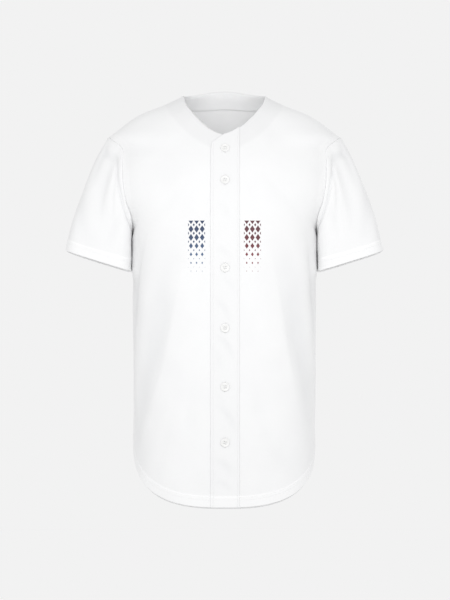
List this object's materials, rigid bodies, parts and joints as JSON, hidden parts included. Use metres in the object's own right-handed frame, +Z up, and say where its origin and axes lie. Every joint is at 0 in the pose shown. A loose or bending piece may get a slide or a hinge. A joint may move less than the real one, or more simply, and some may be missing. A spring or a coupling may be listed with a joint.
{
  "type": "baseball jersey",
  "caption": "Short-sleeved baseball jersey with a button band, a V neck and a shirt-tail hem, filled out as if worn, open at neck, cuffs and hem.",
  "frame": {"origin": "midway between the two neck points, at the level of the shoulders' high points, where the wearer holds the jersey up", "axes": "+Z up, the front faces -Y, +X is the wearer's left"},
  "size_m": [0.583, 0.2568, 0.776],
  "materials": {
    "knit": "white fine polyester knit, matt with a faint sheen",
    "band": "the same white knit, folded and stitched",
    "facing": "the same white knit, inside the neck",
    "button": "white plastic with a soft gloss"
  },
  "bodies": {
    "root": {"front_left": "knit", "front_right": "knit", "back": "knit", "sleeve_left": "knit", "sleeve_right": "knit", "button_band": "band", "neck_facing": "facing", "button_1": "button", "button_2": "button", "button_3": "button", "button_4": "button", "button_5": "button", "button_6": "button"}
  },
  "joints": []
}
